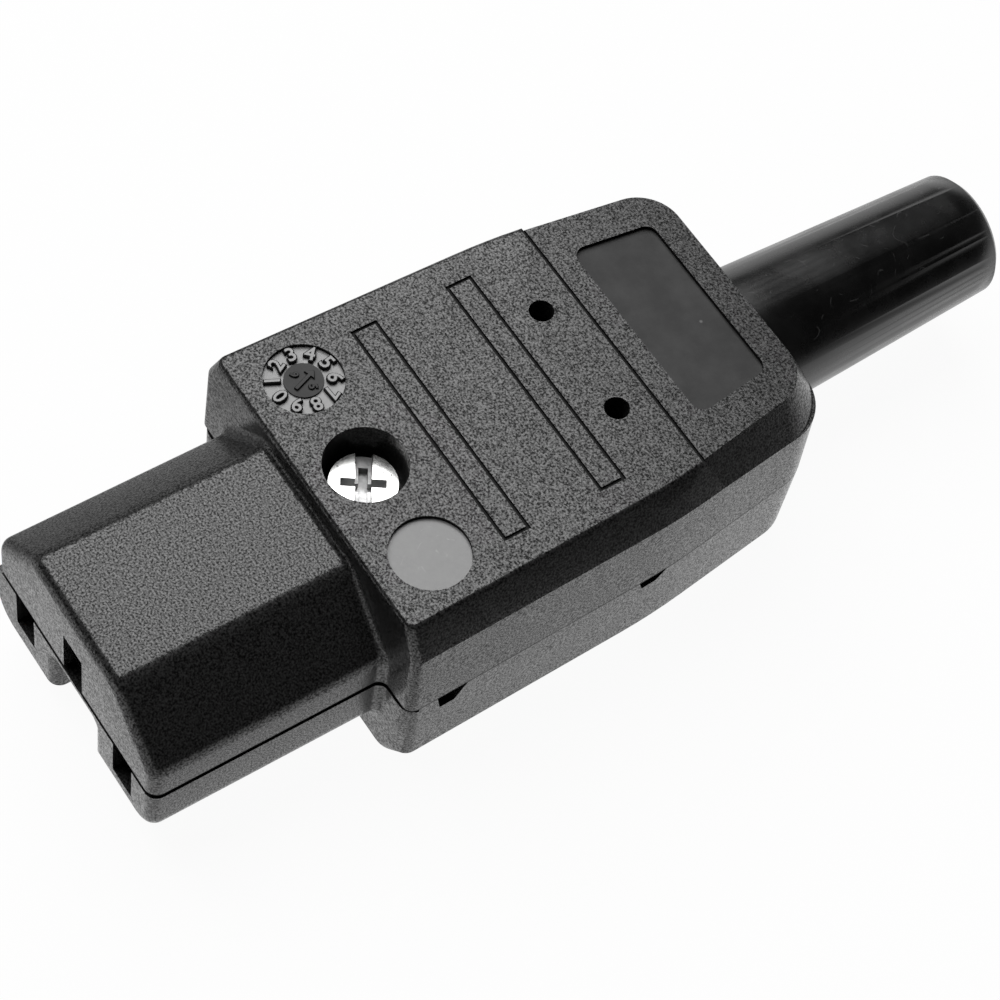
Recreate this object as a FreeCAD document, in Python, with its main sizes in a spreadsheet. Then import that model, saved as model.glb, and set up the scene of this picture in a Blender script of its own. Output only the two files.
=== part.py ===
import FreeCAD, Part
import math
import os
import Sketcher

os.makedirs("parts", exist_ok=True)
doc = FreeCAD.newDocument("cable_connector")

# Driving sizes in millimetres (draft and drive_turn in degrees).
# Every piece is drawn with y from the mating face and z from the seam between the two shells.
driving_sizes = [
    # Mating nose
    ("nose_length", 19.2),
    ("nose_width", 22.2),
    ("nose_top", 8.3),
    ("nose_bottom", 6.2),
    ("nose_upright", 3.1),
    ("nose_crest_width", 11.6),
    ("nose_shoulder_round", 2.0),
    ("nose_crest_round", 2.0),
    ("nose_corner_round", 2.3),
    ("nose_front_round", 1.0),
    ("nose_root_round", 0.8),
    ("notch_width", 5.6),
    ("notch_roof", 1.8),
    ("notch_round", 0.4),
    ("pin_pitch", 14.0),
    ("slot_width", 2.6),
    ("slot_height", 4.4),
    ("front_wall", 1.6),
    ("tunnel_width", 4.4),
    ("seam_gap", 0.55),
    ("seam_gap_depth", 1.0),
    # Body of the two shells
    ("body_length", 39.45),
    ("body_width", 29.2),
    ("body_top", 10.0),
    ("body_bottom", 9.0),
    ("shoulder_length", 23.6),
    ("shoulder_width", 28.0),
    ("rear_width", 24.0),
    ("draft", 1.5),
    ("upper_edge_inset", 1.3),
    ("upper_edge_drop", 3.1),
    ("rear_edge_inset", 1.85),
    ("rear_edge_drop", 3.4),
    ("lower_edge_inset", 1.2),
    ("lower_edge_drop", 1.6),
    ("rear_round", 4.4),
    ("shoulder_round", 60.0),
    ("upper_front_round", 0.8),
    ("lower_front_round", 1.3),
    ("top_round", 0.45),
    ("wall", 2.0),
    ("rear_wall", 2.4),
    # Marks on the top face, placed along it by shares of the body's length
    ("marker_spacing", 16.92),
    ("marker_diameter", 6.1),
    ("wheel_hub_diameter", 3.0),
    ("marker_depth", 0.35),
    ("bar_length", 20.6),
    ("bar_width", 2.3),
    ("first_bar_share", 0.27807),
    ("second_bar_share", 0.48999),
    ("line_width", 0.28),
    ("line_depth", 0.2),
    ("vent_diameter", 1.95),
    ("vent_spacing", 9.92),
    ("vent_share", 0.59189),
    ("cross_line_share", 0.66667),
    ("panel_share", 0.80735),
    ("panel_front_width", 17.0),
    ("panel_rear_width", 15.2),
    ("panel_height", 6.9),
    ("panel_round", 1.0),
    ("panel_depth", 0.35),
    # Pry slots in the lower shell at the seam
    ("pry_front_setback", 2.55),
    ("pry_rear_setback", 20.9),
    ("pry_length", 2.7),
    ("pry_heel", 0.4),
    ("pry_run", 1.3),
    ("pry_front_height", 1.75),
    ("pry_rear_height", 1.05),
    # Housing screw and nut
    ("screw_setback", 4.72),
    ("screw_diameter", 3.0),
    ("screw_length", 14.0),
    ("screw_seat", 5.5),
    ("head_diameter", 5.35),
    ("head_height", 2.0),
    ("head_recess_diameter", 6.4),
    ("drive_slot", 1.2),
    ("drive_slot_depth", 0.7),
    ("drive_turn", -33.4),
    ("cross_width", 0.7),
    ("cross_span", 3.4),
    ("cross_depth", 1.4),
    ("screw_bevel", 0.35),
    ("boss_diameter", 9.4),
    ("locating_boss_diameter", 6.2),
    ("nut_flats", 5.5),
    ("nut_height", 2.4),
    ("nut_seat", 5.2),
    # Contacts, their springs and terminals
    ("pin_thickness", 2.0),
    ("contact_height", 3.9),
    ("contact_length", 11.2),
    ("contact_start", 2.0),
    ("contact_throat", 2.2),
    ("contact_parallel", 5.6),
    ("contact_pinch", 0.2),
    ("contact_flare", 0.5),
    ("strip", 0.6),
    ("tail_width", 3.4),
    ("tail_overlap", 2.7),
    ("spring_strip", 0.3),
    ("spring_height", 2.8),
    ("live_drop", 0.2),
    ("terminal_setback", 7.8),
    ("earth_terminal_setback", 15.8),
    ("cage_width", 6.2),
    ("cage_length", 6.0),
    ("cage_wall", 1.0),
    ("cage_opening", 3.6),
    ("cage_bar", 1.8),
    ("terminal_screw_diameter", 3.0),
    ("terminal_head_diameter", 5.0),
    ("terminal_head_height", 1.8),
    # Cord clamp
    ("clamp_rib_space", 2.55),
    ("clamp_width", 5.6),
    ("clamp_length", 21.0),
    ("clamp_foot", 2.0),
    ("clamp_arch", 1.6),
    ("clamp_drop", 0.4),
    ("saddle_width", 2.8),
    ("clamp_screw_spacing", 16.4),
    ("clamp_screw_diameter", 2.5),
    ("clamp_screw_length", 7.0),
    ("clamp_head_diameter", 4.6),
    ("clamp_head_height", 1.6),
    ("clamp_boss_diameter", 5.0),
    # Bend sleeve
    ("sleeve_length", 23.45),
    ("sleeve_root_diameter", 12.2),
    ("sleeve_end_diameter", 10.3),
    ("sleeve_end_bevel", 0.5),
    ("cable_bore", 7.6),
    ("flange_diameter", 13.8),
    ("flange_thickness", 2.4),
    ("collar_rib", 1.6),
    # Clearances
    ("fit_gap", 0.1),
    ("screw_gap", 0.2),
    ("thread_gap", 0.03),
]

# Points closer than this count as one place
same_place = 0.02

sheet = doc.addObject("Spreadsheet::Sheet", "size")
for row, (alias, number) in enumerate(driving_sizes, start=1):
    sheet.set("A%d" % row, alias)
    sheet.set("B%d" % row, str(number))
    sheet.setAlias("B%d" % row, alias)
doc.recompute()

# Places that several pieces share, as expressions over the sheet
half_nose = "size.nose_width / 2"
half_notch = "size.notch_width / 2"
half_pitch = "size.pin_pitch / 2"
half_body = "size.body_width / 2"
half_shoulder = "size.shoulder_width / 2"
half_rear = "size.rear_width / 2"
front = "size.nose_length"
shoulder = "(size.nose_length + size.shoulder_length)"
rear = "(size.nose_length + size.body_length)"
overall = "(size.nose_length + size.body_length + size.sleeve_length)"
rear_inside = "(%s - size.rear_wall)" % rear
cavity_top = "(size.body_top - size.wall)"
cavity_bottom = "(size.body_bottom - size.wall)"
screw_place = "(size.nose_length + size.screw_setback)"
flange_front = "(%s - size.flange_thickness)" % rear_inside
rib_back = "(%s - size.fit_gap)" % flange_front
rib_front = "(%s - size.collar_rib)" % rib_back
clamp_place = "(%s - size.clamp_rib_space - size.clamp_width / 2)" % rib_front
clamp_seat = "size.clamp_drop"
live_tail = "(size.live_drop + size.contact_height + size.strip)"
contact_back = "(size.contact_start + size.contact_length)"
half_gap = "size.pin_thickness / 2"
tunnel_end = "(size.nose_length + size.wall + size.fit_gap)"
slot_end = "(size.front_wall + size.fit_gap)"
boss_radius = "size.boss_diameter / 2"
screw_way_radius = "size.screw_diameter / 2 + size.screw_gap"
terminal_thread_radius = "size.terminal_screw_diameter / 2 + size.thread_gap"
sleeve_root_radius = "size.sleeve_root_diameter / 2"


def value(expression):
    return float(sheet.evalExpression(expression))


def negative(expression):
    return "-(%s)" % expression


def mirrored(right_side):
    # A closed outline from its right-hand points, front to back
    left_side = [(negative(corner[0]),) + corner[1:] for corner in reversed(right_side)]
    return right_side + left_side


def rectangle(x_low, y_low, x_high, y_high):
    return [(x_low, y_low), (x_high, y_low), (x_high, y_high), (x_low, y_high)]


def new_body(label, x="0", y="0", z="0"):
    body = doc.addObject("PartDesign::Body", label)
    body.Label = label
    body.setExpression("Placement.Base.x", x)
    body.setExpression("Placement.Base.y", "%s - %s / 2" % (y, overall))
    body.setExpression("Placement.Base.z", "%s + size.body_bottom" % z)
    return body


def origin_plane(body, plane):
    return [item for item in body.Origin.OriginFeatures if item.Role == plane][0]


def new_sketch(body, name, plane, offset="0"):
    sketch = body.newObject("Sketcher::SketchObject", name)
    sketch.AttachmentSupport = [(origin_plane(body, plane), "")]
    sketch.MapMode = "FlatFace"
    sketch.setExpression("AttachmentOffset.Base.z", offset)
    return sketch


def bind(sketch, constraint, expression):
    index = sketch.addConstraint(constraint)
    sketch.setExpression("Constraints[%d]" % index, expression)


def tie_point(sketch, edge, vertex, x, y):
    bind(sketch, Sketcher.Constraint("DistanceX", -1, 1, edge, vertex, value(x)), x)
    bind(sketch, Sketcher.Constraint("DistanceY", -1, 1, edge, vertex, value(y)), y)


def draw_outline(sketch, corners):
    # Straight runs between corners; a corner with a third entry is rounded to that radius
    count = len(corners)
    points = [FreeCAD.Vector(value(corner[0]), value(corner[1]), 0) for corner in corners]
    arrive = list(points)
    leave = list(points)
    arcs = {}
    for index, corner in enumerate(corners):
        if len(corner) < 3:
            continue
        radius = value(corner[2])
        back = (points[index - 1] - points[index]).normalize()
        onward = (points[(index + 1) % count] - points[index]).normalize()
        half_angle = back.getAngle(onward) / 2
        arrive[index] = points[index] + back * (radius / math.tan(half_angle))
        leave[index] = points[index] + onward * (radius / math.tan(half_angle))
        centre = points[index] + (back + onward).normalize() * (radius / math.sin(half_angle))
        turns_left = onward.cross(back).z > 0
        begin, finish = (arrive, leave) if turns_left else (leave, arrive)
        spoke_begin = begin[index] - centre
        spoke_finish = finish[index] - centre
        circle = Part.Circle(centre, FreeCAD.Vector(0, 0, 1), radius)
        angle_begin = math.atan2(spoke_begin.y, spoke_begin.x)
        angle_finish = math.atan2(spoke_finish.y, spoke_finish.x)
        arcs[index] = (Part.ArcOfCircle(circle, angle_begin, angle_finish), turns_left)
    runs = []
    for index in range(count):
        run = Part.LineSegment(leave[index], arrive[(index + 1) % count])
        runs.append(sketch.addGeometry(run, False))
    for index, corner in enumerate(corners):
        before = runs[index - 1]
        after = runs[index]
        if index not in arcs:
            sketch.addConstraint(Sketcher.Constraint("Coincident", before, 2, after, 1))
            tie_point(sketch, after, 1, corner[0], corner[1])
            continue
        arc, turns_left = arcs[index]
        bend = sketch.addGeometry(arc, False)
        mark = sketch.addGeometry(Part.Point(points[index]), True)
        first_end, last_end = (1, 2) if turns_left else (2, 1)
        sketch.addConstraint(Sketcher.Constraint("PointOnObject", mark, 1, before))
        sketch.addConstraint(Sketcher.Constraint("PointOnObject", mark, 1, after))
        sketch.addConstraint(Sketcher.Constraint("Tangent", before, 2, bend, first_end))
        sketch.addConstraint(Sketcher.Constraint("Tangent", bend, last_end, after, 1))
        tie_point(sketch, mark, 1, corner[0], corner[1])
        bind(sketch, Sketcher.Constraint("Radius", bend, value(corner[2])), corner[2])


def draw_circle(sketch, x, y, radius):
    centre = FreeCAD.Vector(value(x), value(y), 0)
    ring = sketch.addGeometry(Part.Circle(centre, FreeCAD.Vector(0, 0, 1), value(radius)), False)
    tie_point(sketch, ring, 3, x, y)
    bind(sketch, Sketcher.Constraint("Radius", ring, value(radius)), radius)


def outline_sketch(body, name, plane, corners, offset="0"):
    sketch = new_sketch(body, name, plane, offset)
    draw_outline(sketch, corners)
    return sketch


def circle_sketch(body, name, plane, circles, offset="0"):
    sketch = new_sketch(body, name, plane, offset)
    for x, y, radius in circles:
        draw_circle(sketch, x, y, radius)
    return sketch


def pad(body, sketch, length, reverse=False, taper="0"):
    feature = body.newObject("PartDesign::Pad", sketch.Name + "_pad")
    feature.Profile = sketch
    feature.Reversed = reverse
    feature.setExpression("Length", length)
    feature.setExpression("TaperAngle", taper)
    return feature


def pocket(body, sketch, depth, reverse=False, taper="0"):
    doc.recompute()
    volume_before = body.Tip.Shape.Volume
    feature = body.newObject("PartDesign::Pocket", sketch.Name + "_pocket")
    feature.Profile = sketch
    feature.Reversed = reverse
    feature.setExpression("Length", depth)
    feature.setExpression("TaperAngle", taper)
    doc.recompute()
    if not feature.Shape.Volume < volume_before:
        raise ValueError("%s removes nothing" % feature.Label)
    return feature


def revolve(body, sketch, axis):
    feature = body.newObject("PartDesign::Revolution", sketch.Name + "_turn")
    feature.Profile = sketch
    feature.ReferenceAxis = (sketch, [axis])
    feature.Angle = 360
    return feature


def chosen_edges(shape, test):
    names = []
    for index, edge in enumerate(shape.Edges, start=1):
        if all(test(vertex.Point) for vertex in edge.Vertexes) and test(edge.CenterOfMass):
            names.append("Edge%d" % index)
    return names


def round_edges(body, name, radius, test):
    doc.recompute()
    base = body.Tip
    feature = body.newObject("PartDesign::Fillet", name)
    feature.Base = (base, chosen_edges(base.Shape, test))
    feature.setExpression("Radius", radius)
    return feature


def near(first, second):
    return abs(first - second) < same_place


def bevel_edges(body, name, inset, drop, test):
    # One edge is enough: the bevel follows its smooth chain round the block
    doc.recompute()
    base = body.Tip
    feature = body.newObject("PartDesign::Chamfer", name)
    feature.Base = (base, chosen_edges(base.Shape, test)[:1])
    feature.ChamferType = "Two distances"
    feature.FlipDirection = True
    feature.setExpression("Size", inset)
    feature.setExpression("Size2", drop)
    return feature


def draft_walls(body, downward):
    # The side and rear walls lean in from the seam; the front stays upright
    doc.recompute()
    base = body.Tip
    walls = []
    for index, face in enumerate(base.Shape.Faces, start=1):
        behind_front = face.BoundBox.YMax > value(front) + same_place
        if behind_front and face.BoundBox.ZLength > same_place:
            walls.append("Face%d" % index)
    feature = body.newObject("PartDesign::Draft", body.Name + "_draft")
    feature.Base = (base, walls)
    feature.NeutralPlane = (origin_plane(body, "XY_Plane"), [""])
    feature.Reversed = downward
    feature.setExpression("Angle", "size.draft")


def shell_block(body, height, downward, inset, drop, corner_round):
    # The drafted block behind the nose, bevelled along its far face and rounded at its front corners
    right_side = [
        (half_body, front),
        (half_shoulder, shoulder, "size.shoulder_round"),
        (half_rear, rear, "size.rear_round"),
    ]
    outline = outline_sketch(body, body.Name + "_block", "XY_Plane", mirrored(right_side))
    pad(body, outline, height, downward)
    draft_walls(body, downward)
    far_face = value(negative(height)) if downward else value(height)

    def right_far_edge(point):
        return point.x > value(half_rear) and near(point.z, far_face)

    def front_corner(point):
        beside_nose = abs(point.x) > value(half_nose) + same_place
        return beside_nose and point.y < value(front + " + size.wall / 2")

    bevel_edges(body, body.Name + "_bevel", inset, drop, right_far_edge)
    round_edges(body, body.Name + "_front_corners", corner_round, front_corner)


def nose_root(body):
    # The inner corner where the nose leaves the body's front
    def root_edge(point):
        within_nose = abs(point.x) < value(half_nose) + same_place
        below_top = abs(point.z) < value("size.nose_top") + same_place
        return within_nose and below_top and near(point.y, value(front))

    round_edges(body, body.Name + "_nose_root", "size.nose_root_round", root_edge)


def cavity(body, depth, upward):
    right_side = [
        (half_body + " - size.wall", "%s + size.wall" % front),
        (half_shoulder + " - size.wall", shoulder),
        (half_rear + " - size.wall", rear_inside, "size.wall"),
    ]
    outline = outline_sketch(body, body.Name + "_cavity", "XY_Plane", mirrored(right_side))
    pocket(body, outline, depth, upward)


def cable_end(body, depth, downward):
    # A rib in front of the sleeve flange, the cord's way through it and the sleeve's way out
    rib_reach = half_rear + " - size.wall / 2"
    rib = rectangle(negative(rib_reach), rib_front, rib_reach, rib_back)
    pad(body, outline_sketch(body, body.Name + "_collar_rib", "XY_Plane", rib), depth, downward)
    cord_way = [("0", "0", "size.cable_bore / 2")]
    rib_hole = circle_sketch(body, body.Name + "_cord_way", "XZ_Plane", cord_way,
                             negative(rib_front + " - size.fit_gap"))
    pocket(body, rib_hole, "size.collar_rib + 2 * size.fit_gap")
    sleeve_way = [("0", "0", sleeve_root_radius + " + size.fit_gap")]
    wall_hole = circle_sketch(body, body.Name + "_sleeve_way", "XZ_Plane", sleeve_way,
                              negative(rear_inside + " - size.fit_gap"))
    pocket(body, wall_hole, "size.rear_wall + 2 * size.fit_gap")


# Upper shell
upper = new_body("upper_shell")
shell_block(upper, "size.body_top", False, "size.upper_edge_inset", "size.upper_edge_drop",
            "size.upper_front_round")
round_edges(upper, "upper_top_edge", "size.top_round", lambda point: near(point.z, value("size.body_top")))
upper_nose_profile = mirrored([
    (half_nose, "0"),
    (half_nose, "size.nose_upright", "size.nose_shoulder_round"),
    ("size.nose_crest_width / 2", "size.nose_top", "size.nose_crest_round"),
])
upper_nose = outline_sketch(upper, "upper_nose", "XZ_Plane", upper_nose_profile)
pad(upper, upper_nose, "size.nose_length + size.wall / 2", True)
round_edges(upper, "upper_nose_front", "size.nose_front_round",
            lambda point: near(point.y, 0) and point.x > 0)
nose_root(upper)
cavity(upper, cavity_top, True)

upper_boss = circle_sketch(upper, "upper_boss", "XY_Plane", [("0", screw_place, boss_radius)])
pad(upper, upper_boss, cavity_top)
screw_way = circle_sketch(upper, "upper_screw_way", "XY_Plane", [("0", screw_place, screw_way_radius)])
pocket(upper, screw_way, "size.body_top", True)
head_circle = [("0", screw_place, "size.head_recess_diameter / 2")]
head_recess = circle_sketch(upper, "head_recess", "XY_Plane", head_circle, "size.screw_seat")
pocket(upper, head_recess, "size.body_top", True)

cable_end(upper, cavity_top, False)

earth_slot = rectangle("-size.slot_width / 2", "-size.front_wall", "size.slot_width / 2", slot_end)
pocket(upper, outline_sketch(upper, "earth_slot", "XY_Plane", earth_slot), "size.slot_height", True)
earth_tunnel = rectangle("-size.tunnel_width / 2", "size.front_wall", "size.tunnel_width / 2", tunnel_end)
pocket(upper, outline_sketch(upper, "earth_tunnel", "XY_Plane", earth_tunnel), "size.slot_height", True)


def top_sketch(name):
    return new_sketch(upper, name, "XY_Plane", "size.body_top")


def setback(distance):
    return "(size.nose_length + size.%s)" % distance


def along_body(share):
    return "(size.nose_length + size.body_length * size.%s)" % share


# Marks on the top face: bar outlines, wheel, blank disc, cross line and smooth panel
bar_lines = top_sketch("bar_lines")
for bar in ("first_bar_share", "second_bar_share"):
    for grow in ("+ 0", "- 2 * size.line_width"):
        half_length = "(size.bar_length %s) / 2" % grow
        half_width = "(size.bar_width %s) / 2" % grow
        draw_outline(bar_lines, rectangle(negative(half_length), "%s - %s" % (along_body(bar), half_width),
                                          half_length, "%s + %s" % (along_body(bar), half_width)))
pocket(upper, bar_lines, "size.line_depth")

markers = top_sketch("markers")
half_marker_spacing = "size.marker_spacing / 2"
draw_circle(markers, half_marker_spacing, screw_place, "size.marker_diameter / 2")
draw_circle(markers, negative(half_marker_spacing), screw_place, "size.marker_diameter / 2")
draw_circle(markers, negative(half_marker_spacing), screw_place, "size.wheel_hub_diameter / 2")
pocket(upper, markers, "size.marker_depth")

# Behind the cross line the bevel is wider
cross_place = along_body("cross_line_share")
taper_behind_cross = "(%s - %s) / (%s - %s)" % (half_shoulder, half_rear, rear, shoulder)
inset_at_cross = "%s - (%s - %s) * %s - size.rear_edge_inset" % (
    half_shoulder, cross_place, shoulder, taper_behind_cross)
inset_round = "size.rear_round - size.rear_edge_inset / 2"
outer_side = half_body + " + 2 * size.wall"
outer_rear = rear + " + 2 * size.wall"
rear_bevel_side = [
    (outer_side, outer_rear),
    (outer_side, cross_place),
    (inset_at_cross, cross_place),
    (half_rear + " - size.rear_edge_inset", rear + " - size.rear_edge_inset", inset_round),
]
rear_bevel = outline_sketch(upper, "rear_bevel", "XY_Plane", mirrored(rear_bevel_side), "size.body_top")
pocket(upper, rear_bevel, "size.rear_edge_drop", False, "-atan(size.rear_edge_inset / size.rear_edge_drop)")

cross_line = top_sketch("cross_line")
draw_outline(cross_line, rectangle(negative(half_body), "%s - size.line_width / 2" % cross_place,
                                   half_body, "%s + size.line_width / 2" % cross_place))
pocket(upper, cross_line, "size.line_depth")

panel = top_sketch("panel")
panel_low = "%s - size.panel_height / 2" % along_body("panel_share")
panel_high = "%s + size.panel_height / 2" % along_body("panel_share")
panel_side = [
    ("size.panel_front_width / 2", panel_low, "size.panel_round"),
    ("size.panel_rear_width / 2", panel_high, "size.panel_round"),
]
draw_outline(panel, mirrored(panel_side))
pocket(upper, panel, "size.panel_depth")

vents = top_sketch("vents")
for x in ("size.vent_spacing / 2", "-size.vent_spacing / 2"):
    draw_circle(vents, x, along_body("vent_share"), "size.vent_diameter / 2")
pocket(upper, vents, "size.wall + size.fit_gap")

# Lower shell
lower = new_body("lower_shell")
shell_block(lower, "size.body_bottom", True, "size.lower_edge_inset", "size.lower_edge_drop",
            "size.lower_front_round")
lower_nose_profile = mirrored([
    (half_nose, "0"),
    (half_nose, "-size.nose_bottom", "size.nose_corner_round"),
])
lower_nose = outline_sketch(lower, "lower_nose", "XZ_Plane", lower_nose_profile)
pad(lower, lower_nose, "size.nose_length + size.wall / 2", True)
nose_root(lower)
notch_profile = mirrored([
    (half_notch, "-size.notch_roof", "size.notch_round"),
    (half_notch, "-size.nose_bottom"),
])
pocket(lower, outline_sketch(lower, "keying_notch", "XZ_Plane", notch_profile), front)
round_edges(lower, "lower_nose_front", "size.nose_front_round",
            lambda point: near(point.y, 0) and point.x > 0)
cavity(lower, cavity_bottom, False)


def stand(name, shapes, top):
    # A raised feature from the cavity floor up to a depth below the seam
    sketch = new_sketch(lower, name, "XY_Plane", negative(top))
    for shape in shapes:
        if len(shape) == 3:
            draw_circle(sketch, *shape)
        else:
            draw_outline(sketch, shape)
    pad(lower, sketch, "%s - (%s)" % (cavity_bottom, top), True)


def block_at(x, y, width, length):
    return rectangle("%s - (%s) / 2" % (x, width), "%s - (%s) / 2" % (y, length),
                     "%s + (%s) / 2" % (x, width), "%s + (%s) / 2" % (y, length))


terminal_place = setback("terminal_setback")
earth_terminal_place = setback("earth_terminal_setback")
# Line and neutral terminals sit midway between the screw boss and the side wall beside their back end
terminal_share = "(size.terminal_setback + size.cage_length / 2) / size.shoulder_length"
side_taper = "(%s - %s) * %s" % (half_body, half_shoulder, terminal_share)
half_terminals = "(%s + %s - %s - size.wall) / 2" % (boss_radius, half_body, side_taper)
half_cage = "size.cage_width / 2"
both_sides = (1, -1)


def on_side(side, expression):
    return expression if side > 0 else negative(expression)


def pair_of_blocks(x, y, width, length):
    return [block_at(on_side(side, x), y, width, length) for side in both_sides]


# The earth contact's eye lies on the boss, sunk to the seam and held by the locating boss
stand("lower_boss", [("0", screw_place, boss_radius)], "size.strip")
eye_pocket = circle_sketch(lower, "eye_pocket", "XY_Plane", [("0", screw_place, boss_radius)])
pocket(lower, eye_pocket, "size.strip")
stand("locating_boss", [("0", screw_place, "size.locating_boss_diameter / 2")], "0")
stand("live_seats", pair_of_blocks(half_terminals, terminal_place, "size.cage_width", "size.cage_length"),
      live_tail + " + size.cage_wall")
stop_inner = "%s + %s + size.fit_gap" % (half_terminals, half_cage)
stop_outer = half_body + " - size.wall / 2"
stop_middle = "(%s + %s) / 2" % (stop_inner, stop_outer)
stop_width = "%s - (%s)" % (stop_outer, stop_inner)
stand("live_stops", pair_of_blocks(stop_middle, terminal_place, stop_width, "size.cage_length"),
      "size.live_drop")
stand("earth_seat", [block_at("0", earth_terminal_place, "size.cage_width", "size.cage_length")],
      "size.strip + size.cage_wall")
rib_middle = "(%s + size.fit_gap + size.cage_wall / 2)" % half_cage
stand("earth_ribs", pair_of_blocks(rib_middle, earth_terminal_place, "size.cage_wall", "size.cage_length"),
      "size.live_drop")
half_clamp_screws = "size.clamp_screw_spacing / 2"
clamp_bosses = [(on_side(side, half_clamp_screws), clamp_place, "size.clamp_boss_diameter / 2")
                for side in both_sides]
stand("clamp_bosses", clamp_bosses, clamp_seat)
stand("cord_saddle", [block_at("0", clamp_place, "size.clamp_screw_spacing", "size.saddle_width")],
      clamp_seat + " + size.strip")
saddle_way = circle_sketch(lower, "saddle_way", "XZ_Plane", [("0", "0", "size.cable_bore / 2")],
                           negative(clamp_place + " - size.clamp_width / 2"))
pocket(lower, saddle_way, "size.clamp_width")
cable_end(lower, cavity_bottom, True)

lower_screw_circle = [("0", screw_place, screw_way_radius)]
lower_screw_way = circle_sketch(lower, "lower_screw_way", "XY_Plane", lower_screw_circle)
pocket(lower, lower_screw_way, "size.body_bottom")


def hexagon(flats):
    # Corners of a hexagon about the screw axis, from its width across flats
    corner = "(%s) / sqrt(3)" % flats
    across = [(negative(corner), "0"), ("-0.5 * " + corner, "-0.5 * (%s)" % flats),
              ("0.5 * " + corner, "-0.5 * (%s)" % flats), (corner, "0"),
              ("0.5 * " + corner, "0.5 * (%s)" % flats), ("-0.5 * " + corner, "0.5 * (%s)" % flats)]
    return across


nut_corners = [(x, "%s + %s" % (screw_place, y)) for x, y in hexagon("size.nut_flats + 2 * size.fit_gap")]
nut_pocket = outline_sketch(lower, "nut_pocket", "XY_Plane", nut_corners, "-size.body_bottom")
pocket(lower, nut_pocket, "size.body_bottom - size.nut_seat", True)

pilot_holes = circle_sketch(lower, "pilot_holes", "XY_Plane",
                            [(on_side(side, half_clamp_screws), clamp_place,
                              "size.clamp_screw_diameter / 2 + size.thread_gap") for side in both_sides])
pocket(lower, pilot_holes, cavity_bottom)

live_slots = new_sketch(lower, "live_slots", "XY_Plane")
live_tunnels = new_sketch(lower, "live_tunnels", "XY_Plane")
for side in both_sides:
    middle = on_side(side, half_pitch)
    draw_outline(live_slots, rectangle("%s - size.slot_width / 2" % middle, "-size.front_wall",
                                       "%s + size.slot_width / 2" % middle, slot_end))
    draw_outline(live_tunnels, rectangle("%s - size.tunnel_width / 2" % middle, "size.front_wall",
                                         "%s + size.tunnel_width / 2" % middle, tunnel_end))
pocket(lower, live_slots, "size.slot_height")
pocket(lower, live_tunnels, live_tail + " + size.fit_gap")
tail_channel = rectangle("-size.tail_width / 2 - size.fit_gap", contact_back + " - size.tail_width",
                         "size.tail_width / 2 + size.fit_gap", tunnel_end)
tail_channel_sketch = outline_sketch(lower, "tail_channel", "XY_Plane", tail_channel)
pocket(lower, tail_channel_sketch, "size.strip + size.fit_gap")

# A shadow gap runs round the nose and across the front of the body
inner_gap = half_nose + " - size.seam_gap_depth"
outer_gap = half_nose + " + size.seam_gap_depth"
gap_back = "%s + size.seam_gap_depth" % front
gap_side = [
    (inner_gap, gap_back),
    (half_body, gap_back),
    (half_body, "%s - size.seam_gap_depth" % front),
    (outer_gap, "%s - size.seam_gap_depth" % front),
    (outer_gap, "-size.seam_gap_depth"),
]
gap_front = [(negative(x), y) for x, y in reversed(gap_side)]
gap_inside = [(negative(inner_gap), "size.seam_gap_depth"), (inner_gap, "size.seam_gap_depth")]
shadow_gap = outline_sketch(lower, "shadow_gap", "XY_Plane", gap_side + gap_front + gap_inside)
pocket(lower, shadow_gap, "size.seam_gap")

for side, side_name in zip(both_sides, ("right", "left")):
    for pry in ("pry_front", "pry_rear"):
        heel = setback(pry + "_setback")
        opening = [
            (heel, "0"),
            (heel + " + size.pry_length", "0"),
            (heel + " + size.pry_heel + size.pry_run", "-size.%s_height" % pry),
            (heel + " + size.pry_heel", "-size.%s_height" % pry),
        ]
        opening_start = on_side(side, half_shoulder + " - size.wall / 2")
        opening_sketch = outline_sketch(lower, "%s_%s" % (pry, side_name), "YZ_Plane", opening, opening_start)
        pocket(lower, opening_sketch, "size.wall", side > 0)

# Bend sleeve, turned about the cord's axis
sleeve = new_body("bend_sleeve")
sleeve_profile = [
    (flange_front, "size.cable_bore / 2"),
    (overall, "size.cable_bore / 2"),
    (overall, "size.sleeve_end_diameter / 2 - size.sleeve_end_bevel"),
    (overall + " - size.sleeve_end_bevel", "size.sleeve_end_diameter / 2"),
    (rear, sleeve_root_radius),
    (rear_inside, sleeve_root_radius),
    (rear_inside, "size.flange_diameter / 2"),
    (flange_front, "size.flange_diameter / 2"),
]
revolve(sleeve, outline_sketch(sleeve, "sleeve_profile", "YZ_Plane", sleeve_profile), "H_Axis")


def screw_body(label, x, y, z, sizes, bevel=None):
    # A slotted screw with its axis upright and its seat at z; its tip and head may be bevelled
    thread, length, head, head_height = sizes
    body = new_body(label, x, y, z)
    thread_radius = "(%s) / 2" % thread
    head_radius = "(%s) / 2" % head
    tip = [(thread_radius, negative(length))]
    crown = [(head_radius, head_height)]
    if bevel:
        tip = [("%s - %s" % (thread_radius, bevel), negative(length)),
               (thread_radius, "%s - %s" % (bevel, length))]
        crown = [(head_radius, "%s - %s" % (head_height, bevel)),
                 ("%s - %s" % (head_radius, bevel), head_height)]
    collar = [(thread_radius, "0"), (head_radius, "0")]
    profile = [("0", negative(length))] + tip + collar + crown + [("0", head_height)]
    revolve(body, outline_sketch(body, label + "_profile", "XZ_Plane", profile), "V_Axis")
    slot = block_at("0", "0", head, "size.drive_slot")
    slot_sketch = outline_sketch(body, label + "_slot", "XY_Plane", slot, head_height)
    pocket(body, slot_sketch, "size.drive_slot_depth")
    return body


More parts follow.
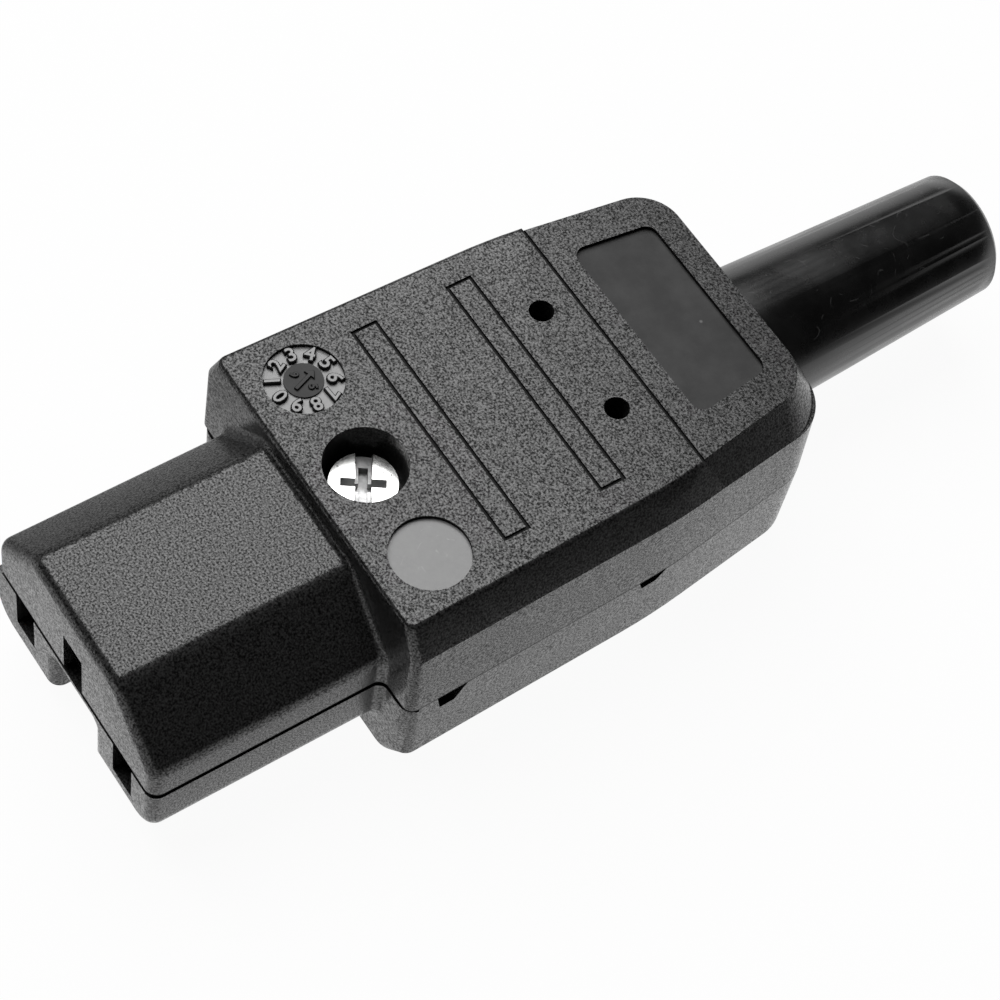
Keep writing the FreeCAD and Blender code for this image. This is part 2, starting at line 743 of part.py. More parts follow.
# Housing screw with a combined slot and cross recess, and its nut
housing_screw_sizes = ("size.screw_diameter", "size.screw_length", "size.head_diameter", "size.head_height")
housing_screw = screw_body("housing_screw", "0", screw_place, "size.screw_seat", housing_screw_sizes,
                           "size.screw_bevel")
half_cross = "size.cross_width / 2"
half_span = "size.cross_span / 2"
cross_side = [
    (half_cross, negative(half_span)),
    (half_cross, negative(half_cross)),
    (half_span, negative(half_cross)),
    (half_span, half_cross),
    (half_cross, half_cross),
    (half_cross, half_span),
]
cross = mirrored(cross_side)
cross_recess = outline_sketch(housing_screw, "cross_recess", "XY_Plane", cross, "size.head_height")
pocket(housing_screw, cross_recess, "size.cross_depth")
housing_screw.setExpression("Placement.Rotation.Angle", "size.drive_turn * 1 deg")

nut = new_body("housing_nut", "0", screw_place, "-size.nut_seat")
pad(nut, outline_sketch(nut, "nut_outline", "XY_Plane", hexagon("size.nut_flats")), "size.nut_height", True)
nut_thread_radius = "size.screw_diameter / 2 + size.thread_gap"
nut_thread = circle_sketch(nut, "nut_thread", "XY_Plane", [("0", "0", nut_thread_radius)])
pocket(nut, nut_thread, "size.nut_height")


def strip_side(legs, back):
    # One leg of a folded strip: pinched throat, parallel run and the start of the round bend
    return [
        ("%s - size.contact_pinch / 2" % legs, "size.contact_start + size.contact_throat"),
        (legs, "size.contact_start + size.contact_parallel"),
        (legs, back, "%s - size.fit_gap" % legs),
    ]


def folded_strip(inside, outside):
    # The closed outline of a strip folded in plan, from the points of its right leg
    inside_left = [(negative(corner[0]),) + corner[1:] for corner in inside]
    return mirrored(outside) + inside_left + list(reversed(inside))


def contact(label, x, z):
    # A brass strip folded into a hairpin with a flared mouth
    body = new_body(label, x, "0", z)
    outer_legs = half_gap + " + size.strip"
    inside = strip_side(half_gap, contact_back + " - size.strip")
    outside = strip_side(outer_legs, contact_back)
    inside.insert(0, (half_gap + " + size.contact_flare", "size.contact_start"))
    outside.insert(0, (outer_legs + " + size.contact_flare", "size.contact_start"))
    fold = outline_sketch(body, label + "_fold", "XY_Plane", folded_strip(inside, outside))
    pad(body, fold, "size.contact_height")
    return body


def contact_spring(label, x, z):
    # A steel clip that hugs the outside of the folded contact
    body = new_body(label, x, "0", "%s + (size.contact_height - size.spring_height) / 2" % z)
    hug = half_gap + " + size.strip + size.thread_gap"
    back = contact_back + " + size.thread_gap"
    inside = strip_side(hug, back)
    outside = strip_side(hug + " + size.spring_strip", back + " + size.spring_strip")
    clip = outline_sketch(body, label + "_clip", "XY_Plane", folded_strip(inside, outside))
    pad(body, clip, "size.spring_height")
    return body


def terminal_clamp(label, x, y, z):
    # A brass cage: the tail lies on its floor and a screw comes down through its bar
    body = new_body(label, x, "%s - size.cage_length / 2" % y, z)
    section = new_sketch(body, label + "_section", "XZ_Plane")
    cage_top = "(size.cage_opening + size.cage_bar)"
    draw_outline(section, rectangle(negative(half_cage), "-size.cage_wall", half_cage, cage_top))
    window = half_cage + " - size.cage_wall"
    draw_outline(section, rectangle(negative(window), "0", window, "size.cage_opening"))
    pad(body, section, "size.cage_length", True)
    thread_circle = [("0", "size.cage_length / 2", terminal_thread_radius)]
    thread = circle_sketch(body, label + "_thread", "XY_Plane", thread_circle, cage_top)
    pocket(body, thread, "size.cage_bar")
    screw_reach = "(size.cage_bar + size.cage_opening - 2 * size.strip)"
    screw_body(label.replace("clamp", "screw"), x, y, "%s + %s" % (z, cage_top),
               ("size.terminal_screw_diameter", screw_reach, "size.terminal_head_diameter",
                "size.terminal_head_height"))
    return body


# Line and neutral contacts lie in the lower shell, their tails stepped out to the terminals
tail_start = contact_back + " - size.tail_overlap"
step_start = tunnel_end + " + size.fit_gap"
step_end = "%s - size.cage_length / 2" % terminal_place
tail_end = "%s + size.cage_length / 2 + size.strip" % terminal_place
tail_shift = "(%s - %s)" % (half_terminals, half_pitch)
half_tail = "size.tail_width / 2"
live_foot = "-(size.live_drop + size.contact_height)"
for side, pole in zip(both_sides, ("line", "neutral")):
    pole_x = on_side(side, half_pitch)
    pole_contact = contact(pole + "_contact", pole_x, live_foot)
    shift = on_side(side, tail_shift)
    tail = [
        (negative(half_tail), tail_start),
        (half_tail, tail_start),
        (half_tail, step_start),
        ("%s + %s" % (half_tail, shift), step_end),
        ("%s + %s" % (half_tail, shift), tail_end),
        ("-%s + %s" % (half_tail, shift), tail_end),
        ("-%s + %s" % (half_tail, shift), step_end),
        (negative(half_tail), step_start),
    ]
    pad(pole_contact, outline_sketch(pole_contact, pole + "_tail", "XY_Plane", tail), "size.strip", True)
    contact_spring(pole + "_contact_spring", pole_x, live_foot)
    terminal_x = on_side(side, half_terminals)
    terminal_clamp(pole + "_terminal_clamp", terminal_x, terminal_place, negative(live_tail))

# The earth contact stands on the seam; its tail is an eye round the screw and runs on to its terminal
earth_contact = contact("earth_contact", "0", "0")
earth_tail_end = "%s + size.cage_length / 2 + size.strip" % earth_terminal_place
earth_strip = rectangle(negative(half_tail), tail_start, half_tail, earth_tail_end)
earth_strip_sketch = outline_sketch(earth_contact, "earth_strip", "XY_Plane", earth_strip)
pad(earth_contact, earth_strip_sketch, "size.strip", True)
eye_circle = [("0", screw_place, boss_radius + " - size.fit_gap")]
pad(earth_contact, circle_sketch(earth_contact, "earth_eye", "XY_Plane", eye_circle), "size.strip", True)
hole_circle = [("0", screw_place, "size.locating_boss_diameter / 2 + size.fit_gap")]
pocket(earth_contact, circle_sketch(earth_contact, "eye_hole", "XY_Plane", hole_circle), "size.strip")
contact_spring("earth_contact_spring", "0", "0")
terminal_clamp("earth_terminal_clamp", "0", earth_terminal_place, "-size.strip")

# Cord clamp: a strap arched over the cord, held by two screws
clamp = new_body("cord_clamp", "0", "%s - size.clamp_width / 2" % clamp_place, negative(clamp_seat))
crown = "size.cable_bore / 2 + size.clamp_arch + " + clamp_seat
strap = mirrored([
    ("size.clamp_length / 2", "0"),
    ("size.clamp_length / 2", "size.clamp_foot"),
    ("size.cable_bore / 2 + size.clamp_arch", "size.clamp_foot"),
    ("size.cable_bore / 2", crown, "size.clamp_arch"),
])
pad(clamp, outline_sketch(clamp, "strap", "XZ_Plane", strap), "size.clamp_width", True)
strap_way = circle_sketch(clamp, "strap_way", "XZ_Plane", [("0", clamp_seat, "size.cable_bore / 2")])
pocket(clamp, strap_way, "size.clamp_width")
strap_holes = circle_sketch(clamp, "strap_holes", "XY_Plane",
                            [(on_side(side, half_clamp_screws), "size.clamp_width / 2",
                              "size.clamp_screw_diameter / 2 + size.screw_gap") for side in both_sides],
                            "size.clamp_foot")
pocket(clamp, strap_holes, "size.clamp_foot")
for side, side_name in zip(both_sides, ("right", "left")):
    screw_body("cord_clamp_screw_" + side_name, on_side(side, half_clamp_screws), clamp_place,
               "size.clamp_foot - " + clamp_seat,
               ("size.clamp_screw_diameter", "size.clamp_screw_length", "size.clamp_head_diameter",
                "size.clamp_head_height"))

# Nothing is written unless every object is sound
doc.recompute()
failed = [item.Name for item in doc.Objects if "Invalid" in item.State or "Error" in item.State]
if failed:
    raise ValueError("failed features: " + ", ".join(failed))
bodies = [item for item in doc.Objects if item.TypeId == "PartDesign::Body"]
for body in bodies:
    if body.Shape.isNull() or not body.Shape.isValid() or len(body.Shape.Solids) != 1:
        raise ValueError("%s is not one sound solid" % body.Label)
for body in bodies:
    body.Shape.exportStep("parts/%s.step" % body.Label)
    print(body.Label, round(body.Shape.Volume, 2))
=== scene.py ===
import math

import bmesh
import bpy
from mathutils import Matrix, Vector


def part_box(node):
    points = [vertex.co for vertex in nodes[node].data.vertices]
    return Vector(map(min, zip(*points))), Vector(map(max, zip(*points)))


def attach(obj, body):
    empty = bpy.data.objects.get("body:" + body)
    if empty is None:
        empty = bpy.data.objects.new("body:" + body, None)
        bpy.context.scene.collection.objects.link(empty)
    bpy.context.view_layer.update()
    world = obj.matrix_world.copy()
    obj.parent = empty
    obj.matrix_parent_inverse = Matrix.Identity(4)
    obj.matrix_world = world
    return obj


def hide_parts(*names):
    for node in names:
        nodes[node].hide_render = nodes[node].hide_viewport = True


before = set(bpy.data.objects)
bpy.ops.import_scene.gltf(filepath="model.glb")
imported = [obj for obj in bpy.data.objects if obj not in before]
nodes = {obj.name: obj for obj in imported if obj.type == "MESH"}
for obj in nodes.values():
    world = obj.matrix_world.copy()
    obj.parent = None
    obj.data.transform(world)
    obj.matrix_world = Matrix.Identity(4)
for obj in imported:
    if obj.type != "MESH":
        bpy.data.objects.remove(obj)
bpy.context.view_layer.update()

mm = 0.001
near = 0.02 * mm  # how closely two heights have to agree
weld = 0.0005 * mm
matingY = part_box("lower_shell")[0].y  # front of the mating nose
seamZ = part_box("upper_shell")[0].z  # where the two shells meet
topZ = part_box("upper_shell")[1].z  # upper face of the body


def fromNose(x, y, z):  # millimetres from the nose's front, at the seam
    return Vector((x * mm, matingY + y * mm, seamZ + z * mm))


# camera

photoView = {
    "eye": (89.549, -48.937, 190.650),
    "azimuth": 45.949,
    "elevation": 57.639,
    "roll": 12.217,
    "lens": 107.807,
    "sensor": 36.0,
    "clip": 0.01,
}


def placeCamera(look):
    azimuth, elevation, roll = [math.radians(look[part]) for part in ("azimuth", "elevation", "roll")]
    flat = math.cos(elevation)
    back = Vector((math.sin(azimuth) * flat, -math.cos(azimuth) * flat, math.sin(elevation)))
    right = Vector((math.cos(azimuth), math.sin(azimuth), 0))
    up = back.cross(right)
    turnedRight = right * math.cos(roll) + up * math.sin(roll)
    turnedUp = up * math.cos(roll) - right * math.sin(roll)
    lens = bpy.data.cameras.new("photoCamera")
    lens.lens = look["lens"]
    lens.sensor_width = look["sensor"]
    lens.clip_start = look["clip"]
    holder = bpy.data.objects.new("photoCamera", lens)
    turn = Matrix((turnedRight, turnedUp, back)).transposed().to_4x4()
    holder.matrix_world = Matrix.Translation(fromNose(*look["eye"])) @ turn
    bpy.context.scene.collection.objects.link(holder)
    bpy.context.scene.camera = holder


placeCamera(photoView)
print("camera placed")


# node groups for effects that several finishes share

def newGroup(name, inputs, outputs):
    group = bpy.data.node_groups.new(name, "ShaderNodeTree")
    for label, kind in inputs:
        group.interface.new_socket(name=label, in_out="INPUT", socket_type=kind)
    for label, kind in outputs:
        group.interface.new_socket(name=label, in_out="OUTPUT", socket_type=kind)
    return group, group.nodes.new("NodeGroupInput"), group.nodes.new("NodeGroupOutput")


def addNode(tree, kind, settings=None, values=None):
    node = tree.nodes.new(kind)
    for part, setting in (settings or {}).items():
        setattr(node, part, setting)
    for socket, number in (values or {}).items():
        node.inputs[socket].default_value = number
    return node


def addMath(tree, operation, first, second=0.0):
    node = addNode(tree, "ShaderNodeMath", {"operation": operation})
    for socket, entry in zip(node.inputs, (first, second)):
        if isinstance(entry, (int, float)):
            socket.default_value = entry
        else:
            tree.links.new(entry, socket)
    return node.outputs[0]


def addRange(tree, source, fromLow, fromHigh, toLow=0.0, toHigh=1.0):
    limits = {"From Min": fromLow, "From Max": fromHigh, "To Min": toLow, "To Max": toHigh}
    node = addNode(tree, "ShaderNodeMapRange", {"clamp": True}, limits)
    tree.links.new(source, node.inputs["Value"])
    return node.outputs["Result"]


def addPattern(group, enter, kind, values=None, finer=None):
    pattern = addNode(group, kind, None, values)
    scale = enter.outputs["Scale"]
    if finer is not None:
        scale = addMath(group, "MULTIPLY", scale, finer)
    group.links.new(enter.outputs["Place"], pattern.inputs["Vector"])
    group.links.new(scale, pattern.inputs["Scale"])
    return pattern


placeAndScale = [("Place", "NodeSocketVector"), ("Scale", "NodeSocketFloat")]
maskOnly = [("Mask", "NodeSocketFloat")]

grainShape = {
    "coarse": {"Detail": 1.0, "Roughness": 0.6},
    "fine": {"Detail": 1.0, "Roughness": 0.5},
    "finer": 1.9, "fineShare": 0.45,
    "speckle": (0.34, 0.69),
}


def makeGrain(shape):  # the spark-eroded skin of a mould
    outputs = [("Speckle", "NodeSocketFloat"), ("Height", "NodeSocketFloat")]
    group, enter, leave = newGroup("sparkGrain", placeAndScale, outputs)
    coarse = addPattern(group, enter, "ShaderNodeTexNoise", shape["coarse"])
    fine = addPattern(group, enter, "ShaderNodeTexNoise", shape["fine"], shape["finer"])
    group.links.new(addRange(group, coarse.outputs[0], *shape["speckle"]), leave.inputs["Speckle"])
    lesser = addMath(group, "MULTIPLY", fine.outputs[0], shape["fineShare"])
    group.links.new(addMath(group, "ADD", coarse.outputs[0], lesser), leave.inputs["Height"])
    return group


fleckShape = {"spot": (0.22, 0.08)}


def makeFlecks(shape):  # sparse dust and nicks
    group, enter, leave = newGroup("dustFlecks", placeAndScale + [("Share", "NodeSocketFloat")], maskOnly)
    cells = addPattern(group, enter, "ShaderNodeTexVoronoi")
    draw = addNode(group, "ShaderNodeSeparateColor")
    group.links.new(cells.outputs["Color"], draw.inputs["Color"])
    chosen = addMath(group, "LESS_THAN", draw.outputs["Red"], enter.outputs["Share"])
    spot = addRange(group, cells.outputs["Distance"], *shape["spot"])
    group.links.new(addMath(group, "MULTIPLY", chosen, spot), leave.inputs["Mask"])
    return group


smudgeShape = {"cloud": {"Detail": 4.0, "Roughness": 0.6}, "spread": (0.38, 0.68)}


def makeSmudge(shape):  # broad cloudy change, as on handled plastic
    group, enter, leave = newGroup("handlingSmudge", placeAndScale, maskOnly)
    cloud = addPattern(group, enter, "ShaderNodeTexNoise", shape["cloud"])
    group.links.new(addRange(group, cloud.outputs[0], *shape["spread"]), leave.inputs["Mask"])
    return group


scratchShape = {
    "bend": {"Detail": 0.0}, "middle": 0.5, "line": (0.014, 0.004),
    "gate": {"Detail": 1.0}, "finer": 1.7, "broken": (0.58, 0.66),
}


def makeScratches(shape):  # thin broken lines where a band of noise is crossed
    group, enter, leave = newGroup("fineScratches", placeAndScale, maskOnly)
    bend = addPattern(group, enter, "ShaderNodeTexNoise", shape["bend"])
    gate = addPattern(group, enter, "ShaderNodeTexNoise", shape["gate"], shape["finer"])
    offMiddle = addMath(group, "ABSOLUTE", addMath(group, "SUBTRACT", bend.outputs[0], shape["middle"]))
    line = addRange(group, offMiddle, *shape["line"])
    broken = addRange(group, gate.outputs[0], *shape["broken"])
    group.links.new(addMath(group, "MULTIPLY", line, broken), leave.inputs["Mask"])
    return group


grainGroup = makeGrain(grainShape)
fleckGroup = makeFlecks(fleckShape)
smudgeGroup = makeSmudge(smudgeShape)
scratchGroup = makeScratches(scratchShape)


# finishes

def newFinish(name, plain):
    material = bpy.data.materials.new(name)
    material.use_nodes = True
    tree = material.node_tree
    shader = tree.nodes["Principled BSDF"]
    for socket, number in plain.items():
        shader.inputs[socket].default_value = number
    place = addNode(tree, "ShaderNodeTexCoord").outputs["Object"]
    return material, tree, shader, place


def addEffect(tree, group, place, scale, share=None):
    node = addNode(tree, "ShaderNodeGroup", {"node_tree": group}, {"Scale": scale})
    tree.links.new(place, node.inputs["Place"])
    if share is not None:
        node.inputs["Share"].default_value = share
    return node


def mixColour(tree, mask, first, second):
    node = addNode(tree, "ShaderNodeMix", {"data_type": "RGBA"})
    tree.links.new(mask, node.inputs["Factor"])
    colourSockets = [socket for socket in node.inputs if socket.type == "RGBA"]
    for socket, entry in zip(colourSockets, (first, second)):
        if isinstance(entry, tuple):
            socket.default_value = entry
        else:
            tree.links.new(entry, socket)
    return [socket for socket in node.outputs if socket.type == "RGBA"][0]


def grey(level):
    return (level, level, level, 1.0)


def roughen(tree, shader, mask, limits):
    tree.links.new(addRange(tree, mask, 0.0, 1.0, *limits), shader.inputs["Roughness"])


def addBump(tree, shader, height, distance):
    bump = addNode(tree, "ShaderNodeBump", None, {"Strength": 1.0, "Distance": distance})
    tree.links.new(height, bump.inputs["Height"])
    tree.links.new(bump.outputs["Normal"], shader.inputs["Normal"])


shellLook = {
    "dark": 0.003, "light": 0.040,
    "grain": 6300.0, "depth": 0.018 * mm,
    "smudge": 180.0, "rough": (0.30, 0.36),
    "dust": 0.16, "dustScale": 900.0, "dustShare": 0.012,
    "gloss": (0.0, 1.0),  # each grain mirrors the light by itself
    "seamShadeLine": (0.065 * mm, 0.13 * mm),  # half width of the painted seam shade line, and where it ends
    "seamShadeBreakup": (0.35, 0.75), "seamLeft": (0.0, 0.55),  # the smudges break the painted seam shade up
    "plain": {"Specular IOR Level": 0.10, "Coat Roughness": 0.21, "Coat IOR": 1.6},
}


def makeShellPlastic(name, look):
    material, tree, shader, place = newFinish(name, look["plain"])
    grain = addEffect(tree, grainGroup, place, look["grain"])
    smudge = addEffect(tree, smudgeGroup, place, look["smudge"])
    flecks = addEffect(tree, fleckGroup, place, look["dustScale"], look["dustShare"])
    speckled = mixColour(tree, grain.outputs["Speckle"], grey(look["dark"]), grey(look["light"]))
    dusty = mixColour(tree, flecks.outputs["Mask"], speckled, grey(look["dust"]))
    # painted shade: a dark line along the seam between the shells, with the coat taken off there too
    height = addNode(tree, "ShaderNodeSeparateXYZ")
    tree.links.new(place, height.inputs[0])
    offSeam = addMath(tree, "ABSOLUTE", addMath(tree, "SUBTRACT", height.outputs["Z"], seamZ))
    clear = addRange(tree, offSeam, *look["seamShadeLine"])
    seamShadeBroken = addRange(tree, smudge.outputs["Mask"], *look["seamShadeBreakup"], *look["seamLeft"])
    clear = addMath(tree, "MAXIMUM", clear, seamShadeBroken)
    tree.links.new(mixColour(tree, clear, grey(look["dark"]), dusty), shader.inputs["Base Color"])
    roughen(tree, shader, smudge.outputs["Mask"], look["rough"])
    gloss = addRange(tree, grain.outputs["Speckle"], 0.0, 1.0, *look["gloss"])
    tree.links.new(addMath(tree, "MULTIPLY", gloss, clear), shader.inputs["Coat Weight"])
    addBump(tree, shader, grain.outputs["Height"], look["depth"])
    return material


shellPlastic = makeShellPlastic("sparkErodedPlastic", shellLook)

panelLook = {
    "dark": 0.036, "light": 0.058,
    "grain": 5200.0, "depth": 0.002 * mm,
    "smudge": 420.0, "rough": (0.36, 0.46),
    "dust": 0.16, "dustScale": 1300.0, "dustShare": 0.010,
    "plain": {"Specular IOR Level": 0.16},
}


def makeSmoothPanel(look):
    material, tree, shader, place = newFinish("smoothPanelPlastic", look["plain"])
    smudge = addEffect(tree, smudgeGroup, place, look["smudge"])
    grain = addEffect(tree, grainGroup, place, look["grain"])
    flecks = addEffect(tree, fleckGroup, place, look["dustScale"], look["dustShare"])
    cloudy = mixColour(tree, smudge.outputs["Mask"], grey(look["dark"]), grey(look["light"]))
    dusty = mixColour(tree, flecks.outputs["Mask"], cloudy, grey(look["dust"]))
    tree.links.new(dusty, shader.inputs["Base Color"])
    roughen(tree, shader, smudge.outputs["Mask"], look["rough"])
    addBump(tree, shader, grain.outputs["Height"], look["depth"])
    return material


smoothPanel = makeSmoothPanel(panelLook)

markLook = {
    "dark": 0.22, "light": 0.275,
    "grain": 4200.0, "depth": 0.002 * mm,
    "smudge": 700.0, "rough": (0.28, 0.40),
    "scratches": 900.0, "scratchLift": 1.25,
    "plain": {"Specular IOR Level": 0.5},
}


def makePolishedMark(name, look):
    material, tree, shader, place = newFinish(name, look["plain"])
    smudge = addEffect(tree, smudgeGroup, place, look["smudge"])
    grain = addEffect(tree, grainGroup, place, look["grain"])
    scratches = addEffect(tree, scratchGroup, place, look["scratches"])
    cloudy = mixColour(tree, smudge.outputs["Mask"], grey(look["dark"]), grey(look["light"]))
    paler = grey(look["light"] * look["scratchLift"])
    tree.links.new(mixColour(tree, scratches.outputs["Mask"], cloudy, paler), shader.inputs["Base Color"])
    roughen(tree, shader, smudge.outputs["Mask"], look["rough"])
    addBump(tree, shader, grain.outputs["Height"], look["depth"])
    return material


polishedMark = makePolishedMark("polishedMarkPlastic", markLook)
wheelMark = makePolishedMark("polishedWheelPlastic", dict(markLook, dark=0.27, light=0.34))

# painted shade: near black for groove floors, recess walls and the sides of the raised numerals and
# pointer
grooveShadeLook = {
    "dark": 0.004, "light": 0.012,
    "grain": 4000.0, "rough": (0.5, 0.7),
    "plain": {"Specular IOR Level": 0.15},
}


def makeGrooveShade(look):
    material, tree, shader, place = newFinish("paintedGrooveShade", look["plain"])
    grain = addEffect(tree, grainGroup, place, look["grain"])
    speckled = mixColour(tree, grain.outputs["Speckle"], grey(look["dark"]), grey(look["light"]))
    tree.links.new(speckled, shader.inputs["Base Color"])
    roughen(tree, shader, grain.outputs["Speckle"], look["rough"])
    return material


grooveShadeFinish = makeGrooveShade(grooveShadeLook)

sleeveLook = {
    "dark": 0.002, "light": 0.006,
    "grain": 6000.0, "depth": 0.001 * mm,
    "smudge": 260.0, "rough": (0.24, 0.32),
    "scratch": 0.035, "scratches": 640.0,
    "dustScale": 1500.0, "dustShare": 0.016,
    "plain": {"Specular IOR Level": 0.62},
}


def makeSleeveRubber(look):
    material, tree, shader, place = newFinish("sleeveRubber", look["plain"])
    smudge = addEffect(tree, smudgeGroup, place, look["smudge"])
    scratches = addEffect(tree, scratchGroup, place, look["scratches"])
    flecks = addEffect(tree, fleckGroup, place, look["dustScale"], look["dustShare"])
    grain = addEffect(tree, grainGroup, place, look["grain"])
    cloudy = mixColour(tree, smudge.outputs["Mask"], grey(look["dark"]), grey(look["light"]))
    marked = mixColour(tree, scratches.outputs["Mask"], cloudy, grey(look["scratch"]))
    dusty = mixColour(tree, flecks.outputs["Mask"], marked, grey(look["scratch"]))
    tree.links.new(dusty, shader.inputs["Base Color"])
    roughen(tree, shader, smudge.outputs["Mask"], look["rough"])
    addBump(tree, shader, grain.outputs["Height"], look["depth"])
    return material


sleeveRubber = makeSleeveRubber(sleeveLook)

metalWear = {
    "grain": 5000.0, "depth": 0.0012 * mm,
    "smudge": 600.0,
    "scratches": 1500.0,
    "nicks": 2300.0, "nickShare": 0.05,
}
metalLooks = {
    "platedSteel": {
        "bright": (0.86, 0.86, 0.85, 1.0), "dull": (0.62, 0.62, 0.61, 1.0),
        "nick": (0.06, 0.06, 0.06, 1.0), "rough": (0.16, 0.30),
    },
    "contactBrass": {
        "bright": (0.86, 0.64, 0.30, 1.0), "dull": (0.62, 0.42, 0.18, 1.0),
        "nick": (0.30, 0.19, 0.08, 1.0), "rough": (0.22, 0.40),
    },
    "springSteel": {
        "bright": (0.56, 0.57, 0.60, 1.0), "dull": (0.36, 0.37, 0.42, 1.0),
        "nick": (0.12, 0.12, 0.14, 1.0), "rough": (0.24, 0.38),
    },
    "shadedDriveSteel": {  # inside the housing screw's drive: rougher, and darker as painted shade in the recess
        "bright": (0.62, 0.62, 0.62, 1.0), "dull": (0.30, 0.30, 0.30, 1.0),
        "nick": (0.80, 0.80, 0.80, 1.0), "rough": (0.45, 0.62),
    },
}


def makeMetal(name, look, wear):
    material, tree, shader, place = newFinish(name, {"Metallic": 1.0})
    smudge = addEffect(tree, smudgeGroup, place, wear["smudge"])
    scratches = addEffect(tree, scratchGroup, place, wear["scratches"])
    grain = addEffect(tree, grainGroup, place, wear["grain"])
    nicks = addEffect(tree, fleckGroup, place, wear["nicks"], wear["nickShare"])
    cloudy = mixColour(tree, smudge.outputs["Mask"], look["bright"], look["dull"])
    marked = mixColour(tree, scratches.outputs["Mask"], cloudy, look["dull"])
    nicked = mixColour(tree, nicks.outputs["Mask"], marked, look["nick"])
    tree.links.new(nicked, shader.inputs["Base Color"])
    roughen(tree, shader, smudge.outputs["Mask"], look["rough"])
    addBump(tree, shader, grain.outputs["Height"], wear["depth"])
    return material


metals = {name: makeMetal(name, look, metalWear) for name, look in metalLooks.items()}

clampPlastic = makeShellPlastic("filledNylon", dict(shellLook, dark=0.05, light=0.12, grain=2400.0))
print("finishes made")


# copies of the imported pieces, merged and smoothed

smoothing = {"flat": 0.3, "shell": 24.0, "sleeve": 50.0, "metal": 30.0}  # degrees


def mergedCopy(node):
    bm = bmesh.new()
    bm.from_mesh(nodes[node].data)
    bmesh.ops.remove_doubles(bm, verts=bm.verts, dist=weld)
    flat = math.radians(smoothing["flat"])
    bmesh.ops.dissolve_limit(bm, angle_limit=flat, verts=bm.verts, edges=bm.edges)
    return bm


def smoothByAngle(bm, degrees, creaseZ=None):
    for face in bm.faces:
        face.smooth = True
    for edge in bm.edges:
        edge.smooth = edge.is_manifold and edge.calc_face_angle(0.0) < math.radians(degrees)
        if creaseZ is not None and all(abs(vert.co.z - creaseZ) < near for vert in edge.verts):
            edge.smooth = False


def finishPiece(bm, name, finishes):
    mesh = bpy.data.meshes.new(name)
    bm.to_mesh(mesh)
    bm.free()
    if "custom_normal" in mesh.attributes:
        mesh.attributes.remove(mesh.attributes["custom_normal"])
    for finish in finishes:
        mesh.materials.append(finish)
    piece = bpy.data.objects.new(name, mesh)
    bpy.context.scene.collection.objects.link(piece)
    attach(piece, "root")
    return piece


def standIn(node, name, finish, degrees):
    bm = mergedCopy(node)
    for face in bm.faces:
        face.material_index = 0
    smoothByAngle(bm, degrees)
    piece = finishPiece(bm, name, [finish])
    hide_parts(node)


topMarks = {
    "rowY": 23.92,  # screw, wheel and disc stand on one line
    "wheelX": -8.46,
    "discX": 8.46,
    "radius": 3.05 * mm,
    "hub": 1.5 * mm,
    "depth": 0.35 * mm,  # wheel, disc and panel
    "lineDepth": 0.20 * mm,
    "hubSink": 0.19 * mm,
    "bevelDrop": 3.1 * mm,
    "level": 0.9, "upright": 0.1,  # a face's upward share where it counts as floor or wall
}
wheelCentre = fromNose(topMarks["wheelX"], topMarks["rowY"], 0)
discCentre = fromNose(topMarks["discX"], topMarks["rowY"], 0)


def within(face, centre, radius):
    return all((vert.co - centre).xy.length < radius for vert in face.verts)


def isAt(face, depth):
    return all(abs(vert.co.z - topZ + depth) < near for vert in face.verts)


def dressTop(bm, look):
    shell, panel, mark, groove, ring = range(5)
    edgeReach = look["radius"] + near
    hubReach = look["hub"] + near
    for face in bm.faces:
        face.material_index = shell
        upward = face.normal.z > look["level"]
        upright = abs(face.normal.z) < look["upright"]
        lowest = min(vert.co.z for vert in face.verts)
        highest = max(vert.co.z for vert in face.verts)
        # groove floors and recess walls take the painted groove shade
        if upward and isAt(face, look["lineDepth"]):
            face.material_index = groove
        elif upward and isAt(face, look["depth"]):
            face.material_index = panel
            if within(face, wheelCentre, edgeReach):
                face.material_index = ring
            elif within(face, discCentre, edgeReach):
                face.material_index = mark
        elif upward and isAt(face, 0) and within(face, wheelCentre, hubReach):
            face.material_index = panel
        elif upright and lowest > topZ - look["depth"] - near and highest > topZ - near:
            face.material_index = groove
    sunk = [vert for vert in bm.verts if vert.co.z > topZ - near
            and (vert.co - wheelCentre).xy.length < hubReach]
    bmesh.ops.translate(bm, verts=sunk, vec=(0, 0, -look["hubSink"]))


def makeUpperShell(look):
    bm = mergedCopy("upper_shell")
    dressTop(bm, look)
    smoothByAngle(bm, smoothing["shell"], topZ - look["bevelDrop"])
    finishes = [shellPlastic, smoothPanel, polishedMark, grooveShadeFinish, wheelMark]
    piece = finishPiece(bm, "upperHalfShell", finishes)
    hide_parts("upper_shell")


makeUpperShell(topMarks)
standIn("lower_shell", "lowerHalfShell", shellPlastic, smoothing["shell"])
standIn("bend_sleeve", "cordBendSleeve", sleeveRubber, smoothing["sleeve"])
print("shells and sleeve dressed")


# date wheel: raised numerals on the ring, a pointer and two small numerals on the hub

wheelLook = {
    "numerals": "1234567890",
    "first": 244.6,  # degrees, where the row starts
    "step": 36.0,
    "ringRadius": 2.25,
    "body": {"size": 1.62, "bold": 0.065, "rim": 0.05, "below": 0.36, "above": 0.05},
    "face": {"size": 1.62, "bold": 0.025, "rim": 0.0, "below": 0.10, "above": 0.015},
    "hair": 0.001,
}
pointerLook = {
    "tail": (0.45, -0.96),
    "tip": (-0.31, 1.09),
    "shaft": 0.16,
    "barb": 0.50,
    "head": 0.60,
    "rim": 0.04,
    "below": 0.20, "above": 0.015,  # foot and crown, measured down from the top face
    "hair": 0.001,
    "numerals": [("9", (-0.70, -0.42)), ("5", (0.86, 0.24))],
    "turn": -20.0,
    "small": {"size": 0.86, "bold": 0.02, "rim": 0.05, "below": 0.20, "above": 0.05},
}


